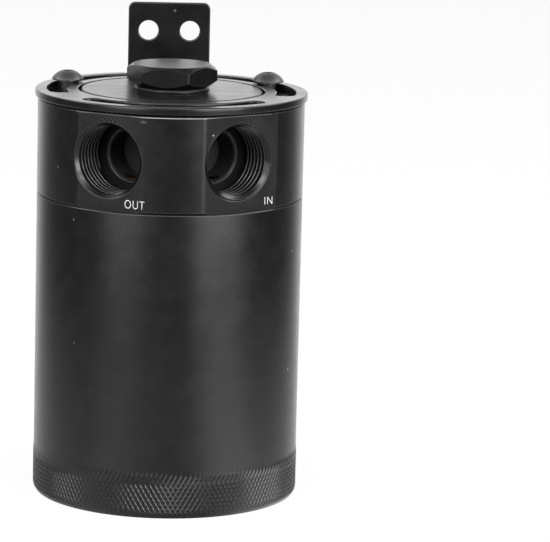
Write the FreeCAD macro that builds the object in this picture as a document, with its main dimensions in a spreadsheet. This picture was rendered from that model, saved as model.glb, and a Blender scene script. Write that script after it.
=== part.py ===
import FreeCAD, Part
import math
import os
import re
import Sketcher

# Oil catch can for an engine bay: a turned canister screws up onto a round head with two
# threaded hose ports, and a bent sheet bracket is clamped on the head by two screws.
# Frame: millimetres, origin at the centre of the canister's base, +Z up, the ports face -Y.

SIZES = {
    # canister
    "can_radius": 40.0,
    "can_height": 90.9,
    "can_wall": 3.5,
    "can_floor": 5.0,
    "floor_fillet": 3.0,
    "base_chamfer": 0.9,
    "grip_height": 13.0,
    "grip_proud": 0.35,
    "rim_chamfer": 0.5,
    "mouth_wall": 2.8,
    "mouth_depth": 3.6,
    "mouth_chamfer": 0.5,
    # running gaps
    "fit_gap": 0.08,
    "seal_gap": 0.04,
    "tube_gap": 0.05,
    "cut_margin": 1.0,
    # head
    "head_height": 29.2,
    "head_chamfer": 0.8,
    "spigot_length": 10.5,
    "spigot_wall": 5.02,
    "spigot_chamfer": 0.8,
    "recess_rise": 2.5,
    "boss_edge": 0.25,
    "boss_gap": 0.9,
    "left_flat_depth": 1.5,
    "right_flat_depth": 2.1,
    "flat_turn": 1.3,
    "head_cord": 2.1,
    "head_groove": 2.4,
    "head_groove_drop": 1.5,
    # hose ports
    "port_angle": 30.0,
    "port_drop": 14.5,
    "left_entry_radius": 11.2,
    "right_entry_radius": 11.6,
    "port_bore_radius": 11.11,
    "port_step_distance": 24.0,
    "port_relief_radius": 11.5,
    "port_relief_length": 2.0,
    "port_inner_radius": 7.6,
    "port_inner_chamfer": 0.6,
    "port_end_wall": 6.0,
    "passage_step": 0.5,
    "passage_radius": 4.1,
    # top plug and its ring
    "plug_bore_radius": 9.0,
    "plug_length": 12.0,
    "plug_flats": 24.0,
    "plug_hex_height": 6.2,
    "plug_hex_lift": 1.6,
    "plug_hex_turn": 40.7,
    "plug_face_radius": 11.6,
    "plug_bevel_angle": 38.0,
    "plug_tip_chamfer": 1.2,
    "plug_cord": 2.1,
    "plug_seat_radius": 11.2,
    "plug_seat_depth": 0.7,
    # bracket, one bent sheet
    "sheet_thickness": 2.2,
    "sheet_edge": 0.5,
    "ring_overhang": 0.8,
    "ring_width": 12.8,
    "slot_inset": 6.4,
    "slot_width": 5.8,
    "slot_travel": 43.67,
    "tab_width": 25.3,
    "tab_height": 21.8,
    "tab_corner": 2.0,
    "tab_bend_radius": 1.6,
    "tab_hole_radius": 3.05,
    "tab_hole_spacing": 12.8,
    "tab_hole_drop": 8.7,
    "tab_root_land": 0.8,
    "notch_width": 1.0,
    # bracket screws
    "left_screw_angle": 115.0,
    "right_screw_angle": 120.0,
    "screw_radius": 2.5,
    "screw_length": 12.0,
    "screw_head_radius": 4.8,
    "screw_head_height": 3.3,
    "screw_face_radius": 1.9,
    "screw_rim_height": 0.35,
    "screw_collar_radius": 3.4,
    "screw_collar_height": 0.6,
    "screw_socket": 3.0,
    "screw_socket_depth": 1.6,
    "screw_hole_spare": 2.0,
    # baffle stack inside the canister
    "pillar_inset": 6.4,
    "pillar_length": 25.0,
    "pillar_radius": 4.0,
    "plate_gap": 1.7,
    "plate_thickness": 1.5,
    "plate_hole_radius": 2.2,
    "plate_outer_inset": 4.6,
    "plate_inner_circle": 8.5,
    "mesh_inset": 0.8,
    "mesh_thickness": 9.0,
    "pin_radius": 2.0,
    "pin_grip": 8.0,
    "pin_gap": 0.2,
    "pin_head_radius": 3.8,
    "pin_head_height": 2.2,
    "pin_head_chamfer": 0.4,
    "pin_socket": 2.5,
    "pin_socket_depth": 1.2,
    # inlet tube and outlet element
    "tube_wall": 0.8,
    "tube_grip": 5.0,
    "tube_below_plate": 6.0,
    "element_radius": 8.0,
    "element_length": 17.0,
    "element_wall": 2.5,
    "element_collar": 3.0,
    "element_edge": 1.0,
}

# Heights and radii that follow from the sizes, as formulas that the sketches are bound to.
SEAM = "can_height"
HEAD_TOP = "(can_height + head_height)"
BOSS_TOP = "(can_height + head_height + sheet_thickness)"
BORE_RADIUS = "(can_radius - can_wall)"
MOUTH_RADIUS = "(can_radius - mouth_wall)"
SPIGOT_RADIUS = "(can_radius - can_wall - fit_gap)"
RECESS_RADIUS = "(can_radius - can_wall - fit_gap - spigot_wall)"
RECESS_TOP = "(can_height + recess_rise)"
PORT_HEIGHT = "(can_height + head_height - port_drop)"
RING_RADIUS = "(can_radius + ring_overhang)"
RING_HOLE = "(can_radius + ring_overhang - ring_width)"
SLOT_RADIUS = "(can_radius + ring_overhang - slot_inset)"
BOSS_RADIUS = "(can_radius + ring_overhang - ring_width - boss_gap)"
PORT_END = "(plug_bore_radius + port_end_wall)"
PASSAGE_Y = "(plug_bore_radius + port_end_wall + passage_step + passage_radius)"
PILLAR_CIRCLE = "(can_radius - can_wall - fit_gap - spigot_wall - pillar_inset)"
PLATE_RADIUS = "(can_radius - can_wall - plate_gap)"
PLUG_RADIUS = "(plug_bore_radius - fit_gap)"
HEX_UNDER = "(can_height + head_height + sheet_thickness + plug_hex_lift)"
HEAD_RING_Z = "(can_height - head_groove_drop)"
HEAD_RING_RADIUS = "(can_radius - mouth_wall - seal_gap - head_cord / 2)"
PLUG_RING_RADIUS = "(plug_bore_radius - fit_gap + seal_gap + plug_cord / 2)"
PLUG_RING_Z = "(can_height + head_height + sheet_thickness - plug_seat_depth + plug_cord / 2 + seal_gap)"
TUBE_RADIUS = "(passage_radius - tube_gap)"
UPPER_PLATE_Z = "(can_height + recess_rise - pillar_length - plate_thickness)"
MESH_Z = "(can_height + recess_rise - pillar_length - plate_thickness - mesh_thickness)"
LOWER_PLATE_Z = "(can_height + recess_rise - pillar_length - 2 * plate_thickness - mesh_thickness)"
PIN_HOLE_RADIUS = "(pin_radius + pin_gap)"
TAB_ROOT_Y = "(can_radius + ring_overhang - tab_bend_radius - sheet_thickness)"
TAB_TOP = "(can_height + head_height + sheet_thickness + tab_height)"
PORT_SIN = "sin(port_angle * 1 deg)"
PORT_COS = "cos(port_angle * 1 deg)"

# For each side of the head: the sign of its angles, its flat's distance and its port's entry.
SIDES = {
    "left": ("-", "(can_radius - left_flat_depth)", "left_entry_radius"),
    "right": ("", "(can_radius - right_flat_depth)", "right_entry_radius"),
}
PILLARS = {1: (PILLAR_CIRCLE, "0"), 2: ("0", PILLAR_CIRCLE), 3: ("-" + PILLAR_CIRCLE, "0")}

doc = FreeCAD.newDocument("catch_can")
sheet = doc.addObject("Spreadsheet::Sheet", "sizes")
parts = []


def fillSheet():
    for row, (alias, size) in enumerate(SIZES.items(), start=1):
        sheet.set(f"A{row}", alias)
        sheet.set(f"B{row}", str(size))
        sheet.setAlias(f"B{row}", alias)
    doc.recompute()


def formula(text):
    return re.sub(r"\b([a-z]+(?:_[a-z]+)+)\b", r"sizes.\1", text)


def number(text):
    result = sheet.evalExpression(formula(text))
    return float(getattr(result, "Value", result))


def newBody(name):
    body = doc.addObject("PartDesign::Body", name)
    body.Label = name
    parts.append(body)
    return body


def origin(body, role):
    return next(f for f in body.Origin.OriginFeatures if f.Role == role)


def newSketch(body, role, name, lift="0", turn="0"):
    sketch = body.newObject("Sketcher::SketchObject", name)
    sketch.AttachmentSupport = (origin(body, role), [""])
    sketch.MapMode = "FlatFace"
    if lift != "0":
        sketch.setExpression("AttachmentOffset.Base.z", formula(f"({lift}) * 1 mm"))
    if turn != "0":
        spin = FreeCAD.Rotation(FreeCAD.Vector(0, 0, 1), number(turn))
        sketch.AttachmentOffset = FreeCAD.Placement(FreeCAD.Vector(), spin)
        sketch.setExpression("AttachmentOffset.Rotation.Angle", formula(f"({turn}) * 1 deg"))
    return sketch


def pin(sketch, geometry, vertex, x, y):
    # Holds one point of a sketch at its x and y formulas, or at one of them.
    for kind, axis, text in (("DistanceX", -2, x), ("DistanceY", -1, y)):
        if text is None:
            continue
        if text == "0":
            sketch.addConstraint(Sketcher.Constraint("PointOnObject", geometry, vertex, axis))
        else:
            index = sketch.addConstraint(Sketcher.Constraint(kind, geometry, vertex, number(text)))
            sketch.setExpression(f"Constraints[{index}]", formula(text))


def axisArc(start, end):
    # An arc between two points, about a centre on the sketch's upright axis.
    height = (end.Length ** 2 - start.Length ** 2) / (2 * (end.y - start.y))
    centre = FreeCAD.Vector(0, height, 0)
    turns = [math.atan2(spot.y - height, spot.x) for spot in (start, end)]
    whole = Part.Circle(centre, FreeCAD.Vector(0, 0, 1), (start - centre).Length)
    return Part.ArcOfCircle(whole, *turns)


def outline(sketch, points, dome=None):
    # Straight sides from point to point; the side numbered dome is an arc about the axis.
    spots = [FreeCAD.Vector(number(x), number(y), 0) for x, y in points]
    count = len(points)
    first = sketch.GeometryCount
    for i in range(count):
        ends = (spots[i], spots[(i + 1) % count])
        side = axisArc(*ends) if i == dome else Part.LineSegment(*ends)
        sketch.addGeometry(side, False)
    if dome is not None:
        sketch.addConstraint(Sketcher.Constraint("PointOnObject", first + dome, 3, -2))
    for i in range(count):
        following = first + (i + 1) % count
        sketch.addConstraint(Sketcher.Constraint("Coincident", first + i, 2, following, 1))
        pin(sketch, first + i, 1, *points[i])


def circle(sketch, x, y, radius):
    centre = FreeCAD.Vector(number(x), number(y), 0)
    index = sketch.addGeometry(Part.Circle(centre, FreeCAD.Vector(0, 0, 1), number(radius)), False)
    size = sketch.addConstraint(Sketcher.Constraint("Radius", index, number(radius)))
    sketch.setExpression(f"Constraints[{size}]", formula(radius))
    if x == "0" and y == "0":
        sketch.addConstraint(Sketcher.Constraint("Coincident", index, 3, -1, 1))
    else:
        pin(sketch, index, 3, x, y)


def revolve(body, name, points=None, ring=None, dome=None):
    sketch = newSketch(body, "XZ_Plane", name + "_profile")
    if points:
        outline(sketch, points, dome)
    if ring:
        circle(sketch, *ring)
    feature = body.newObject("PartDesign::Revolution", name)
    feature.Profile = sketch
    feature.ReferenceAxis = (sketch, ["V_Axis"])
    feature.Angle = 360
    doc.recompute()
    return feature


def pad(body, name, sketch, length, midplane=False):
    feature = body.newObject("PartDesign::Pad", name)
    feature.Profile = sketch
    if midplane:
        feature.SideType = "Symmetric"
    feature.setExpression("Length", formula(length))
    doc.recompute()
    return feature


def mustCut(body, feature):
    # A cut that points away from the solid removes nothing, so the volume is compared.
    doc.recompute()
    before = feature.BaseFeature.Shape.Volume
    if feature.Shape.isNull() or before - feature.Shape.Volume < 1e-3:
        raise RuntimeError(f"{body.Label}: {feature.Label} cuts nothing")
    return feature


def pocket(body, name, sketch, length, midplane=False):
    feature = body.newObject("PartDesign::Pocket", name)
    feature.Profile = sketch
    if midplane:
        feature.SideType = "Symmetric"
    feature.setExpression("Length", formula(length))
    return mustCut(body, feature)


def groove(body, name, sketch, sweep=None):
    feature = body.newObject("PartDesign::Groove", name)
    feature.Profile = sketch
    feature.ReferenceAxis = (sketch, ["V_Axis"])
    if sweep:
        feature.Midplane = True
        feature.setExpression("Angle", formula(sweep))
    else:
        feature.Angle = 360
    return mustCut(body, feature)


def polar(body, name, features, count, angle=360):
    feature = body.newObject("PartDesign::PolarPattern", name)
    feature.Originals = features
    feature.Axis = (origin(body, "Z_Axis"), [""])
    feature.Angle = angle
    feature.Occurrences = count
    body.Tip = feature
    return mustCut(body, feature)


def edgesWhere(feature, test):
    return [f"Edge{i}" for i, edge in enumerate(feature.Shape.Edges, start=1) if test(edge)]


def softenEdges(body, name, kind, base, edges, size):
    feature = body.newObject("PartDesign::" + kind, name)
    feature.Base = (base, edges)
    feature.setExpression("Radius" if kind == "Fillet" else "Size", formula(size))
    doc.recompute()
    return feature


def near(value, text):
    return abs(value - number(text)) < 1e-4


def isRim(edge, radius, height):
    # True for a circle or arc round the body's own axis at this radius and height.
    curve = edge.Curve
    if not isinstance(curve, Part.Circle) or not near(curve.Radius, radius):
        return False
    return near(curve.Center.z, height) and abs(curve.Center.x) + abs(curve.Center.y) < 1e-4


def place(body, x, y, lift="0"):
    for key, text in (("x", x), ("y", y), ("z", lift)):
        if text != "0":
            body.setExpression(f"Placement.Base.{key}", formula(f"({text}) * 1 mm"))
    doc.recompute()


def hexagon(sketch, flats, turn="0"):
    across = f"({flats}) / (2 * cos(30 deg))"
    points = []
    for corner in range(6):
        angle = f"({30 + 60 * corner} - ({turn})) * 1 deg"
        points.append((f"{across} * cos({angle})", f"{across} * sin({angle})"))
    outline(sketch, points)


# The pieces.

def canister():
    body = newBody("canister")
    grip = "(can_radius + grip_proud)"
    grip_top = "(base_chamfer + grip_height)"
    cup = revolve(body, "cup", [
        ("0", "0"),
        (f"{grip} - base_chamfer", "0"),
        (grip, "base_chamfer"),
        (grip, grip_top),
        ("can_radius", grip_top),
        ("can_radius", f"{SEAM} - rim_chamfer"),
        ("can_radius - rim_chamfer", SEAM),
        (f"{MOUTH_RADIUS} + mouth_chamfer", SEAM),
        (MOUTH_RADIUS, f"{SEAM} - mouth_chamfer"),
        (MOUTH_RADIUS, f"{SEAM} - mouth_depth"),
        (BORE_RADIUS, f"{SEAM} - mouth_depth"),
        (BORE_RADIUS, "can_floor"),
        ("0", "can_floor"),
    ])
    corner = edgesWhere(cup, lambda edge: isRim(edge, BORE_RADIUS, "can_floor"))
    softenEdges(body, "floor_round", "Fillet", cup, corner, "floor_fillet")


def head():
    body = newBody("head")
    land = f"({MOUTH_RADIUS} - fit_gap)"
    land_bottom = f"({SEAM} - mouth_depth + seal_gap)"
    groove_floor = f"({HEAD_RING_RADIUS} - head_cord / 2 - seal_gap)"
    groove_low = f"({HEAD_RING_Z} - head_groove / 2)"
    groove_high = f"({HEAD_RING_Z} + head_groove / 2)"
    spigot_end = f"({SEAM} - spigot_length)"
    seat = f"({BOSS_TOP} - plug_seat_depth)"
    revolve(body, "turned_block", [
        ("plug_bore_radius", RECESS_TOP),
        (RECESS_RADIUS, RECESS_TOP),
        (RECESS_RADIUS, spigot_end),
        (f"{SPIGOT_RADIUS} - spigot_chamfer", spigot_end),
        (SPIGOT_RADIUS, f"{spigot_end} + spigot_chamfer"),
        (SPIGOT_RADIUS, land_bottom),
        (land, land_bottom),
        (land, groove_low),
        (groove_floor, groove_low),
        (groove_floor, groove_high),
        (land, groove_high),
        (land, SEAM),
        ("can_radius - rim_chamfer", SEAM),
        ("can_radius", f"{SEAM} + rim_chamfer"),
        ("can_radius", HEAD_TOP),
        (BOSS_RADIUS, HEAD_TOP),
        (BOSS_RADIUS, f"{BOSS_TOP} - boss_edge"),
        (f"{BOSS_RADIUS} - boss_edge", BOSS_TOP),
        ("plug_seat_radius", BOSS_TOP),
        ("plug_seat_radius", seat),
        ("plug_bore_radius", seat),
    ])
    for side in SIDES:
        flatCut(body, side)
        portCut(body, side)
        passageCut(body, side)
        screwHoleCut(body, side)
    pins = newSketch(body, "XY_Plane", "pin_hole_sketch", f"{RECESS_TOP} + pin_grip + cut_margin")
    circle(pins, PILLAR_CIRCLE, "0", "pin_radius + fit_gap")
    pin_hole = pocket(body, "pin_hole", pins, "pin_grip + 2 * cut_margin")
    block = polar(body, "pin_holes", [pin_hole], 3, 180)
    rim = edgesWhere(block, isHeadTopEdge)
    softenEdges(body, "top_chamfer", "Chamfer", block, rim, "head_chamfer")


def isHeadTopEdge(edge):
    ends = [vertex.Point for vertex in edge.Vertexes]
    level = all(near(point.z, HEAD_TOP) for point in ends)
    outer = all(near(math.hypot(point.x, point.y), "can_radius") for point in ends)
    return level and outer and edge.BoundBox.ZLength < 1e-3


def flatCut(body, side):
    sign, flat, _ = SIDES[side]
    turn = f"{sign}port_angle + flat_turn"
    sketch = newSketch(body, "XY_Plane", side + "_flat_sketch", HEAD_TOP, turn)
    half = f"(sqrt(can_radius ^ 2 - {flat} ^ 2) + cut_margin)"
    outline(sketch, [
        (f"-{half}", f"-{flat}"),
        (f"-{half}", "-can_radius - cut_margin"),
        (half, "-can_radius - cut_margin"),
        (half, f"-{flat}"),
    ])
    pocket(body, side + "_flat", sketch, "head_height")


def portCut(body, side):
    sign, flat, entry = SIDES[side]
    sketch = newSketch(body, "XY_Plane", side + "_port_sketch", PORT_HEIGHT, f"{sign}port_angle")
    relief_end = "(port_step_distance + port_relief_length)"
    outline(sketch, [
        ("0", f"-{flat} - cut_margin"),
        (f"{entry} + cut_margin", f"-{flat} - cut_margin"),
        ("port_bore_radius", f"-{flat} + {entry} - port_bore_radius"),
        ("port_bore_radius", f"-{relief_end}"),
        ("port_relief_radius", f"-{relief_end}"),
        ("port_relief_radius", "-port_step_distance"),
        ("port_inner_radius + port_inner_chamfer", "-port_step_distance"),
        ("port_inner_radius", "-port_step_distance + port_inner_chamfer"),
        ("port_inner_radius", f"-{PORT_END}"),
        ("0", f"-{PORT_END}"),
    ])
    groove(body, side + "_port", sketch)


def passageCut(body, side):
    turn = SIDES[side][0] + "port_angle"
    sketch = newSketch(body, "XY_Plane", side + "_passage_sketch", PORT_HEIGHT, turn)
    circle(sketch, "0", "-" + PASSAGE_Y, "passage_radius")
    pocket(body, side + "_passage", sketch, f"{PORT_HEIGHT} - {RECESS_TOP} + cut_margin")


def screwHoleCut(body, side):
    turn = f"{SIDES[side][0]}{side}_screw_angle"
    sketch = newSketch(body, "XY_Plane", side + "_tapped_sketch", HEAD_TOP, turn)
    circle(sketch, "0", "-" + SLOT_RADIUS, "screw_radius + fit_gap")
    depth = "screw_length - sheet_thickness + screw_hole_spare"
    pocket(body, side + "_tapped_hole", sketch, depth)


def sealRing(name, radius, height, cord):
    revolve(newBody(name), name + "_cord", ring=(radius, height, f"({cord}) / 2"))


def bracket():
    body = newBody("bracket")
    outer = RING_RADIUS
    ring = revolve(body, "ring", [
        (RING_HOLE, HEAD_TOP),
        (outer, HEAD_TOP),
        (outer, BOSS_TOP),
        (RING_HOLE, BOSS_TOP),
    ])
    rims = edgesWhere(ring, lambda e: isRim(e, outer, HEAD_TOP) or isRim(e, outer, BOSS_TOP))
    softenEdges(body, "ring_edge", "Fillet", ring, rims, "sheet_edge")
    notch = newSketch(body, "XY_Plane", "notch_sketch", BOSS_TOP)
    half = "(tab_width / 2 + notch_width)"
    outline(notch, [
        (f"-{half}", TAB_ROOT_Y),
        (half, TAB_ROOT_Y),
        (half, f"{outer} + cut_margin"),
        (f"-{half}", f"{outer} + cut_margin"),
    ])
    pocket(body, "tab_notch", notch, "sheet_thickness")
    bentTab(body)
    slots(body)
    holes = newSketch(body, "XZ_Plane", "tab_hole_sketch", f"-{outer} - cut_margin")
    for side in ("-", ""):
        circle(holes, f"{side}tab_hole_spacing / 2", f"{TAB_TOP} - tab_hole_drop", "tab_hole_radius")
    pocket(body, "tab_holes", holes, "2 * (sheet_thickness + cut_margin)", midplane=True)
    roundTab(body)


def bentTab(body):
    # The tab in section: a short land on the ring, the bend, then straight up.
    sketch = newSketch(body, "YZ_Plane", "tab_section")
    inner = f"({RING_RADIUS} - sheet_thickness)"
    land = f"({TAB_ROOT_Y} - tab_root_land)"
    bend_z = f"({BOSS_TOP} + tab_bend_radius)"
    centre = FreeCAD.Vector(number(TAB_ROOT_Y), number(bend_z), 0)
    up = FreeCAD.Vector(0, 0, 1)
    quarter = (1.5 * math.pi, 2 * math.pi)

    def arc(radius):
        return Part.ArcOfCircle(Part.Circle(centre, up, number(radius)), *quarter)

    spots = {
        "root_low": (land, HEAD_TOP),
        "bend_low": (TAB_ROOT_Y, HEAD_TOP),
        "bend_out": (RING_RADIUS, bend_z),
        "top_out": (RING_RADIUS, TAB_TOP),
        "top_in": (inner, TAB_TOP),
        "bend_in": (inner, bend_z),
        "bend_high": (TAB_ROOT_Y, BOSS_TOP),
        "root_high": (land, BOSS_TOP),
    }
    at = {key: FreeCAD.Vector(number(x), number(y), 0) for key, (x, y) in spots.items()}
    sketch.addGeometry(Part.LineSegment(at["root_low"], at["bend_low"]), False)
    sketch.addGeometry(arc("tab_bend_radius + sheet_thickness"), False)
    sketch.addGeometry(Part.LineSegment(at["bend_out"], at["top_out"]), False)
    sketch.addGeometry(Part.LineSegment(at["top_out"], at["top_in"]), False)
    sketch.addGeometry(Part.LineSegment(at["top_in"], at["bend_in"]), False)
    sketch.addGeometry(arc("tab_bend_radius"), False)
    sketch.addGeometry(Part.LineSegment(at["bend_high"], at["root_high"]), False)
    sketch.addGeometry(Part.LineSegment(at["root_high"], at["root_low"]), False)
    for join in ((2, 2, 3, 1), (3, 2, 4, 1), (6, 2, 7, 1), (7, 2, 0, 1), (1, 3, 5, 3)):
        sketch.addConstraint(Sketcher.Constraint("Coincident", *join))
    pin(sketch, 0, 1, land, None)
    pin(sketch, 1, 3, TAB_ROOT_Y, bend_z)
    pin(sketch, 2, 2, *spots["top_out"])
    pin(sketch, 3, 2, *spots["top_in"])
    for level in (0, 6):
        sketch.addConstraint(Sketcher.Constraint("Horizontal", level))
    for upright in (2, 4, 7):
        sketch.addConstraint(Sketcher.Constraint("Vertical", upright))
    for line, line_end, curve, curve_end in ((0, 2, 1, 1), (2, 1, 1, 2), (4, 2, 5, 2), (6, 1, 5, 1)):
        sketch.addConstraint(Sketcher.Constraint("Tangent", line, line_end, curve, curve_end))
    pad(body, "tab", sketch, "tab_width", midplane=True)


def slots(body):
    middle = newSketch(body, "YZ_Plane", "slot_section")
    outline(middle, [
        (f"-{SLOT_RADIUS} - slot_width / 2", HEAD_TOP),
        (f"-{SLOT_RADIUS} + slot_width / 2", HEAD_TOP),
        (f"-{SLOT_RADIUS} + slot_width / 2", BOSS_TOP),
        (f"-{SLOT_RADIUS} - slot_width / 2", BOSS_TOP),
    ])
    run = groove(body, "slot_run", middle, "2 * slot_travel")
    ends = newSketch(body, "XY_Plane", "slot_end_sketch", BOSS_TOP)
    for side in ("-", ""):
        x = f"{side}{SLOT_RADIUS} * sin(slot_travel * 1 deg)"
        circle(ends, x, f"-{SLOT_RADIUS} * cos(slot_travel * 1 deg)", "slot_width / 2")
    caps = pocket(body, "slot_ends", ends, "sheet_thickness")
    polar(body, "slots", [run, caps], 3)


def roundTab(body):
    tip = body.Tip

    def isTabCorner(edge):
        box = edge.BoundBox
        short = box.XLength < 1e-4 and box.ZLength < 1e-4
        return short and near(box.ZMax, TAB_TOP)

    softenEdges(body, "tab_corners", "Fillet", tip, edgesWhere(tip, isTabCorner), "tab_corner")


def socketCut(body, flats, depth, face, upward=False):
    sketch = newSketch(body, "XY_Plane", body.Label + "_socket_sketch", face)
    hexagon(sketch, flats)
    feature = body.newObject("PartDesign::Pocket", body.Label + "_socket")
    feature.Profile = sketch
    feature.Reversed = upward
    feature.setExpression("Length", formula(depth))
    mustCut(body, feature)


def bracketScrew(side):
    # A domed head on a narrow collar, which seats on the bracket's ring.
    body = newBody("bracket_screw_" + side)
    revolve(body, body.Label + "_turned", [
        ("0", "-screw_length"),
        ("screw_radius * 0.8", "-screw_length"),
        ("screw_radius", "-screw_length + screw_radius * 0.4"),
        ("screw_radius", "0"),
        ("screw_collar_radius", "0"),
        ("screw_collar_radius", "screw_collar_height"),
        ("screw_head_radius", "screw_collar_height"),
        ("screw_head_radius", "screw_collar_height + screw_rim_height"),
        ("screw_face_radius", "screw_head_height"),
        ("0", "screw_head_height"),
    ], dome=7)
    socketCut(body, "screw_socket", "screw_socket_depth", "screw_head_height")
    turn = f"({side}_screw_angle * 1 deg)"
    x = f"{SIDES[side][0]}{SLOT_RADIUS} * sin{turn}"
    place(body, x, f"-{SLOT_RADIUS} * cos{turn}", BOSS_TOP)


def baffleScrew(count, x, y):
    # A long screw from below: its head hangs under the lower plate.
    body = newBody(f"baffle_screw_{count}")
    tip = "(pillar_length + 2 * plate_thickness + mesh_thickness + pin_grip)"
    solid = revolve(body, body.Label + "_turned", [
        ("0", tip),
        ("pin_radius * 0.8", tip),
        ("pin_radius", f"{tip} - pin_radius * 0.4"),
        ("pin_radius", "0"),
        ("pin_head_radius", "0"),
        ("pin_head_radius", "-pin_head_height"),
        ("0", "-pin_head_height"),
    ])
    rim = edgesWhere(solid, lambda edge: isRim(edge, "pin_head_radius", "-pin_head_height"))
    softenEdges(body, body.Label + "_edge", "Chamfer", solid, rim, "pin_head_chamfer")
    socketCut(body, "pin_socket", "pin_socket_depth", "-pin_head_height", upward=True)
    place(body, x, y, LOWER_PLATE_Z)


def topPlug():
    body = newBody("top_plug")
    tip = f"({HEX_UNDER} - plug_length)"
    revolve(body, "shank", [
        ("0", tip),
        (f"{PLUG_RADIUS} - plug_tip_chamfer", tip),
        (PLUG_RADIUS, f"{tip} + plug_tip_chamfer"),
        (PLUG_RADIUS, HEX_UNDER),
        ("0", HEX_UNDER),
    ])
    sketch = newSketch(body, "XY_Plane", "hex_sketch", HEX_UNDER)
    hexagon(sketch, "plug_flats", "plug_hex_turn")
    pad(body, "hex_head", sketch, "plug_hex_height")
    corner = "(plug_flats / (2 * cos(30 deg)) + cut_margin)"
    slope = f"(({corner} - plug_face_radius) * tan(plug_bevel_angle * 1 deg))"
    hex_top = f"({HEX_UNDER} + plug_hex_height)"
    for name, face, inward in (("upper", hex_top, "-"), ("lower", HEX_UNDER, "+")):
        bevel = newSketch(body, "XZ_Plane", name + "_bevel_sketch")
        outline(bevel, [
            ("plug_face_radius", face),
            (corner, f"{face} {inward} {slope}"),
            (corner, face),
        ])
        groove(body, name + "_bevel", bevel)


def plate(name, lift):
    # A perforated disc of the baffle stack, with holes for the pillars' screws and the tube.
    body = newBody(name)
    disc = newSketch(body, "XY_Plane", name + "_disc", lift)
    circle(disc, "0", "0", PLATE_RADIUS)
    pad(body, name + "_sheet", disc, "plate_thickness")
    top = f"{lift} + plate_thickness"
    outer_circle = f"({PLATE_RADIUS} - plate_outer_inset)"
    for label, spot, count in (("outer", outer_circle, 12), ("inner", "plate_inner_circle", 6)):
        sketch = newSketch(body, "XY_Plane", f"{name}_{label}_sketch", top)
        circle(sketch, "0", f"-{spot}", "plate_hole_radius")
        hole = pocket(body, f"{name}_{label}_hole", sketch, "plate_thickness")
        polar(body, f"{name}_{label}_holes", [hole], count)
    crossHoles(body, name, top, "plate_thickness")


def crossHoles(body, name, top, depth):
    pins = newSketch(body, "XY_Plane", name + "_pin_sketch", top)
    circle(pins, PILLAR_CIRCLE, "0", PIN_HOLE_RADIUS)
    hole = pocket(body, name + "_pin_hole", pins, depth)
    polar(body, name + "_pin_holes", [hole], 3, 180)
    tube = newSketch(body, "XY_Plane", name + "_tube_sketch", top, "port_angle")
    circle(tube, "0", "-" + PASSAGE_Y, f"{TUBE_RADIUS} + pin_gap")
    pocket(body, name + "_tube_hole", tube, depth)


def meshPad():
    body = newBody("mesh_pad")
    disc = newSketch(body, "XY_Plane", "mesh_disc", MESH_Z)
    circle(disc, "0", "0", f"{PLATE_RADIUS} - mesh_inset")
    pad(body, "mesh", disc, "mesh_thickness")
    crossHoles(body, "mesh", f"{MESH_Z} + mesh_thickness", "mesh_thickness")


def pillars():
    for count, (x, y) in PILLARS.items():
        body = newBody(f"baffle_spacer_{count}")
        revolve(body, f"spacer_{count}", [
            (PIN_HOLE_RADIUS, "0"),
            ("pillar_radius", "0"),
            ("pillar_radius", "pillar_length"),
            (PIN_HOLE_RADIUS, "pillar_length"),
        ])
        place(body, x, y, f"{RECESS_TOP} - pillar_length")
        baffleScrew(count, x, y)


def inletTube():
    body = newBody("inlet_tube")
    tube_end = f"({LOWER_PLATE_Z} - tube_below_plate)"
    tube_top = f"({RECESS_TOP} + tube_grip)"
    revolve(body, "tube", [
        (f"{TUBE_RADIUS} - tube_wall", tube_end),
        (TUBE_RADIUS, tube_end),
        (TUBE_RADIUS, tube_top),
        (f"{TUBE_RADIUS} - tube_wall", tube_top),
    ])
    place(body, f"{PASSAGE_Y} * {PORT_SIN}", f"-{PASSAGE_Y} * {PORT_COS}")


def outletElement():
    # A sintered cup on a hollow stub that plugs into the outlet passage from below.
    body = newBody("outlet_element")
    stub_bore = f"({TUBE_RADIUS} - tube_wall)"
    hollow = "(element_radius - element_wall)"
    end = f"({RECESS_TOP} - element_length)"
    revolve(body, "element", [
        (stub_bore, f"{RECESS_TOP} + tube_grip"),
        (stub_bore, f"{RECESS_TOP} - element_collar"),
        (hollow, f"{RECESS_TOP} - element_collar"),
        (hollow, f"{end} + element_wall"),
        ("0", f"{end} + element_wall"),
        ("0", end),
        ("element_radius - element_edge", end),
        ("element_radius", f"{end} + element_edge"),
        ("element_radius", RECESS_TOP),
        (TUBE_RADIUS, RECESS_TOP),
        (TUBE_RADIUS, f"{RECESS_TOP} + tube_grip"),
    ])
    place(body, f"-{PASSAGE_Y} * {PORT_SIN}", f"-{PASSAGE_Y} * {PORT_COS}")


def checkAll():
    doc.recompute()
    for item in doc.Objects:
        if "Invalid" in item.State or "Error" in item.State:
            raise RuntimeError(f"{item.Label} failed: {item.State}")
    for body in parts:
        if body.Shape.isNull() or not body.Shape.isValid() or len(body.Shape.Solids) != 1:
            raise RuntimeError(f"{body.Label} is not one valid solid")


def writeParts():
    os.makedirs("parts", exist_ok=True)
    for body in parts:
        body.Shape.exportStep(f"parts/{body.Label}.step")


fillSheet()
canister()
sealRing("head_o_ring", HEAD_RING_RADIUS, HEAD_RING_Z, "head_cord")
head()
sealRing("plug_o_ring", PLUG_RING_RADIUS, PLUG_RING_Z, "plug_cord")
topPlug()
bracket()
for side in SIDES:
    bracketScrew(side)
plate("baffle_plate", LOWER_PLATE_Z)
meshPad()
plate("retainer_plate", UPPER_PLATE_Z)
pillars()
inletTube()
outletElement()
checkAll()
writeParts()
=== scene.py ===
import math
import bmesh
import bpy
from mathutils import Matrix, Vector
from mathutils.geometry import delaunay_2d_cdt


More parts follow.
